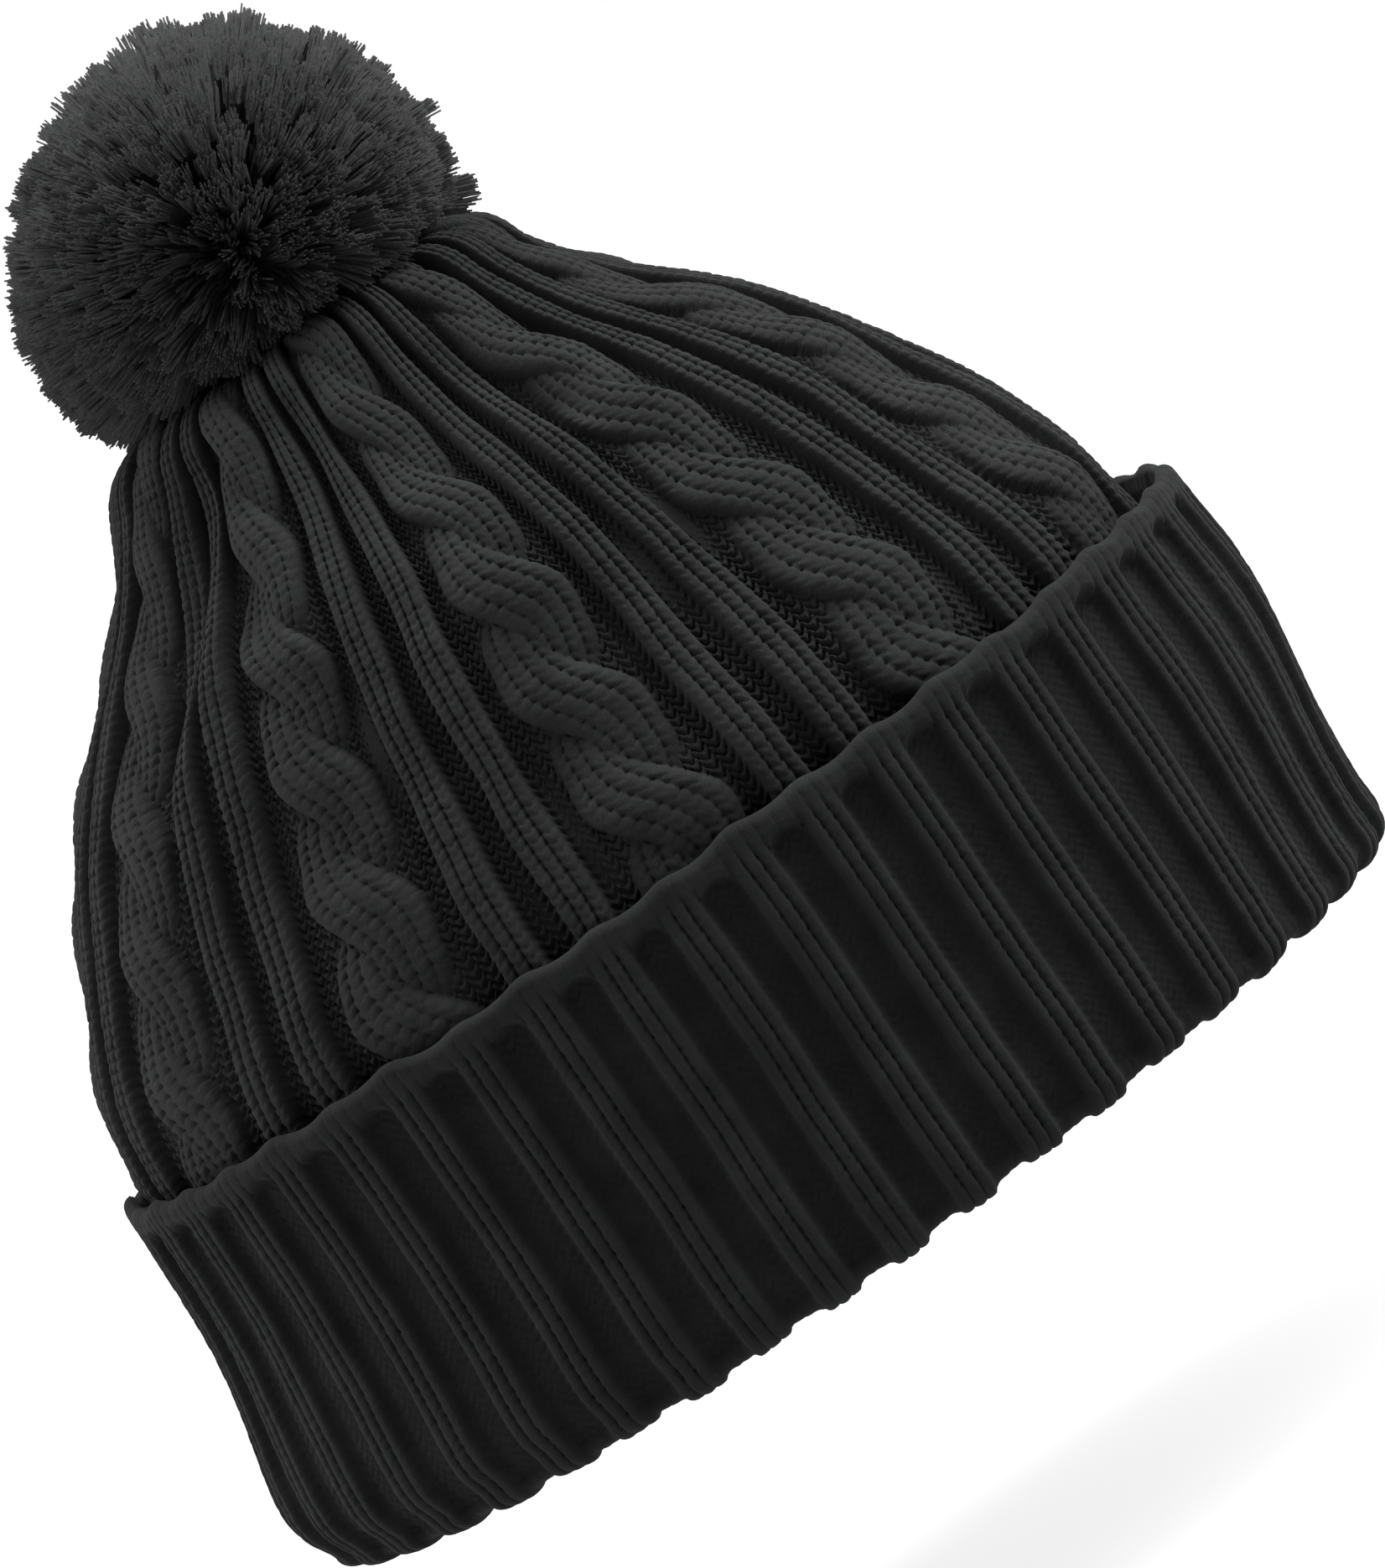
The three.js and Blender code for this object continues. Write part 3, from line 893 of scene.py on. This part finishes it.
def build_pompom():
    """Thousands of cut yarns that stand out from the binding, each a blunt brush of fibres at its end."""
    rng = np.random.default_rng(40)
    way, own, near = yarn_ways(rng)
    reach = yarn_reaches(rng, way, own, near)
    paths = fibre_paths(rng, way, own, reach)
    radii = rng.uniform(0.2, 0.3, (len(paths), 1)) * np.array([1.1, 1.1, 1.05, 1.0, 0.75])
    order = rng.permutation(len(paths))
    resting = np.repeat(way[:, 2] < RESTING_BELOW, FIBRES)[order]
    for k, some in enumerate(np.array_split(order[~resting], 6)):
        piece = tubes(f"pompom_strands_{k + 1}", paths[some], radii[some], 3, POMPOM, soft=0.7, inside=0.35)
        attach(piece, "pompom")
        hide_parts("pompom_yarn")
    for k, some in enumerate(np.array_split(order[resting], 3)):
        piece = tubes(f"pompom_underside_{k + 1}", paths[some], radii[some], 3, POMPOM, soft=0.7, inside=0.35)
        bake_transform(piece)


# ---------------------------------------------------------------- the tie, seam and label


def middle_of(node):
    low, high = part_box(node)
    return np.array((low + high) / 2) / MM, np.array(high - low) / MM


def upright(node, steps=24):
    """Points up the middle of a node, from its bottom to its top."""
    middle, size = middle_of(node)
    height = np.linspace(-0.5, 0.5, steps) * size[2]
    return middle + np.stack([0 * height, 0 * height, height], -1)


def twisted(name, path, radius, turns, node, body):
    """A three-ply cord along a path, in place of a node."""
    plies = ply_paths(path, 3, 0.5 * radius, turns)
    cord = tubes(name, plies, np.full(plies.shape[:2], 0.54 * radius), 8, TIE)
    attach(cord, body)
    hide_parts(node)


def build_tie():
    """The cord that ties the pompom on: inside knot, cord, neck knot, stem and binding."""
    for node, body in (("tie_cord", "root"), ("pompom_stem", "pompom")):
        twisted(f"{node}_plies", upright(node), middle_of(node)[1][0] / 2, 2, node, body)

    around = np.linspace(0, TAU, 160)
    for node, body, cord in (("tie_knot", "root", 1.25), ("tie_neck", "tie_neck", 0.8)):
        middle, size = middle_of(node)
        reach = size / 2 - cord
        trefoil = np.stack([
            (np.sin(around) + 2 * np.sin(2 * around)) / 3,
            (np.cos(around) - 2 * np.cos(2 * around)) / 3,
            -np.sin(3 * around),
        ], -1)
        twisted(f"{node}_plies", middle + trefoil * reach, cord, 26, node, body)

    middle, size = middle_of("pompom_binding")
    cord, wraps = 0.75, 5
    climb = np.linspace(0, 1, 40 * wraps)
    turn = TAU * wraps * climb
    reach = size[0] / 2 - cord
    height = (climb - 0.5) * (size[2] - 2 * cord)
    coil = middle + np.stack([reach * np.cos(turn), reach * np.sin(turn), height], -1)
    twisted("pompom_binding_plies", coil, cord, 60, "pompom_binding", "pompom")

    middle, size = middle_of("crown_gather_thread")
    cord = size[2] / 2
    ring = np.stack([np.cos(around), np.sin(around), 0.04 * np.sin(7 * around)], -1)
    path = middle + ring * (size[0] / 2 - cord)
    twisted("crown_gather_plies", path, cord, 24, "crown_gather_thread", "root")


def build_seam_and_label():
    """The whipped seam up the inside of the back and the folded label sewn into it, which is blank."""
    low, high = (np.array(corner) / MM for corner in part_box("back_seam"))
    outline = catmull_rom(CROWN_OUTLINE)
    z = np.linspace(low[2] + 1, high[2] - 1, 420)
    half_x = np.interp(z, outline[: len(outline) * 3 // 4, 1], outline[: len(outline) * 3 // 4, 0])
    slope = np.gradient(half_x, z)
    back = half_x - ovalness(z) - (FABRIC + 1.9) * np.sqrt(1 + slope**2)
    stitch = TAU * (z - z[0]) / 3.2
    path = np.stack([lean_at(z) + 1.0 * np.sin(stitch), back + 0.35 * np.cos(2 * stitch), z], -1)
    plies = ply_paths(path, 2, 0.38, 60)
    seam = tubes("back_seam_yarn", plies, np.full(plies.shape[:2], 0.42), 6, TIE)
    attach(seam, "root")
    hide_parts("back_seam")

    low, high = (np.array(corner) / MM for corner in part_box("care_label"))
    width, height = high[0] - low[0], high[2] - low[2]
    bend = 0.45
    across = np.linspace(low[0], high[0], 40)
    drop = np.linspace(high[2], low[2] + bend, 24)
    turn = np.linspace(0, math.pi, 9)[1:-1]
    y = (low[1] + high[1]) / 2
    section = np.concatenate([
        np.stack([np.full(24, y - bend), drop], -1),
        np.stack([y - bend * np.cos(turn), low[2] + bend - bend * np.sin(turn)], -1),
        np.stack([np.full(24, y + bend), drop[::-1]], -1),
    ])
    lowered = ((high[2] - section[:, 1]) / height)[:, None]
    curl = 0.25 * np.sin(TAU * (across - low[0]) / width)[None, :] * lowered
    face = np.stack(np.broadcast_arrays(across[None, :], section[:, :1] + curl, section[:, 1:]), -1)
    out = -grid_normals(face, wraps=False)
    thick = 0.12
    label = slab("care_label_tape", face - out * thick, -out, face + out * thick, out,
                 np.arange(len(section)), np.arange(40), LABEL)
    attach(label, "root")
    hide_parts("care_label")


# ---------------------------------------------------------------- stage


def build_stage():
    """A pale floor just under the reach of the turned-down cuff, soft light all round and soft suns."""
    floor_z = 2 * FOLD_RADIUS - CUFF_TOP - 1.5
    side = 30000.0
    corners = [(-side, -side, floor_z), (side, -side, floor_z), (side, side, floor_z), (-side, side, floor_z)]
    material, nodes, links, shader = new_material("pale_floor")
    shader.inputs["Base Color"].default_value = (0.1, 0.1, 0.1, 1)
    shader.inputs["Roughness"].default_value = 0.9
    shader.inputs["Emission Color"].default_value = (1, 1, 1, 1)
    shader.inputs["Emission Strength"].default_value = 0.8
    floor = make_mesh("floor", np.array(corners), [np.array([[0, 1, 2, 3]])], material=material)

    world = bpy.data.worlds.new("studio")
    world.use_nodes = True
    nodes, links = world.node_tree.nodes, world.node_tree.links
    toward = nodes.new("ShaderNodeTexCoord").outputs["Generated"]
    dot = nodes.new("ShaderNodeVectorMath")
    dot.operation = "DOT_PRODUCT"
    dot.inputs[1].default_value = (0.0, 1.0, 0.15)
    links.new(toward, dot.inputs[0])
    shade = nodes.new("ShaderNodeMapRange")
    shade.inputs["From Min"].default_value = -0.9
    shade.inputs["From Max"].default_value = -0.1
    shade.inputs["To Min"].default_value = 0.05
    shade.inputs["To Max"].default_value = 1.0
    links.new(dot.outputs["Value"], shade.inputs["Value"])
    links.new(shade.outputs["Result"], nodes["Background"].inputs["Strength"])
    nodes["Background"].inputs["Color"].default_value = (1, 1, 1, 1)
    bpy.context.scene.world = world

    def sun(name, towards, strength, angle):
        light = bpy.data.lights.new(name, "SUN")
        light.energy = strength
        light.angle = math.radians(angle)
        lamp = bpy.data.objects.new(name, light)
        lamp.rotation_euler = Vector(towards).to_track_quat("Z", "Y").to_euler()
        bpy.context.scene.collection.objects.link(lamp)

    sun("key_light", (0.85, 0.0, 0.8), 4.8, 35)
    sun("side_light", (-1.0, 0.0, 0.3), 0.9, 40)
    sun("top_light", (-0.2, 0.1, 1.0), 2.8, 50)
    bpy.context.scene.view_settings.view_transform = "Standard"


def build_camera():
    """A camera in front of the hat and a little above it, rolled so that the hat leans to the left."""
    elevation, roll = math.radians(5), math.radians(35.67)
    distance, frame_height = 1.5, 0.2711
    target = Vector((0.0152, 0, 0.0764))
    back = Vector((0, -math.cos(elevation), math.sin(elevation)))
    right = Vector((1, 0, 0))
    up = back.cross(right) * math.cos(roll) + right * math.sin(roll)
    side = up.cross(back)
    camera = bpy.data.objects.new("camera", bpy.data.cameras.new("camera"))
    turn = Matrix((side, up, back)).transposed().to_4x4()
    camera.matrix_world = Matrix.Translation(target + back * distance) @ turn
    camera.data.sensor_width = 36
    camera.data.lens = camera.data.sensor_width * distance / frame_height
    camera.data.clip_start, camera.data.clip_end = 0.05, 100
    bpy.context.scene.collection.objects.link(camera)
    bpy.context.scene.camera = camera


build_camera()
build_stage()
build_body()
build_cuff()
build_pompom()
build_tie()
build_seam_and_label()
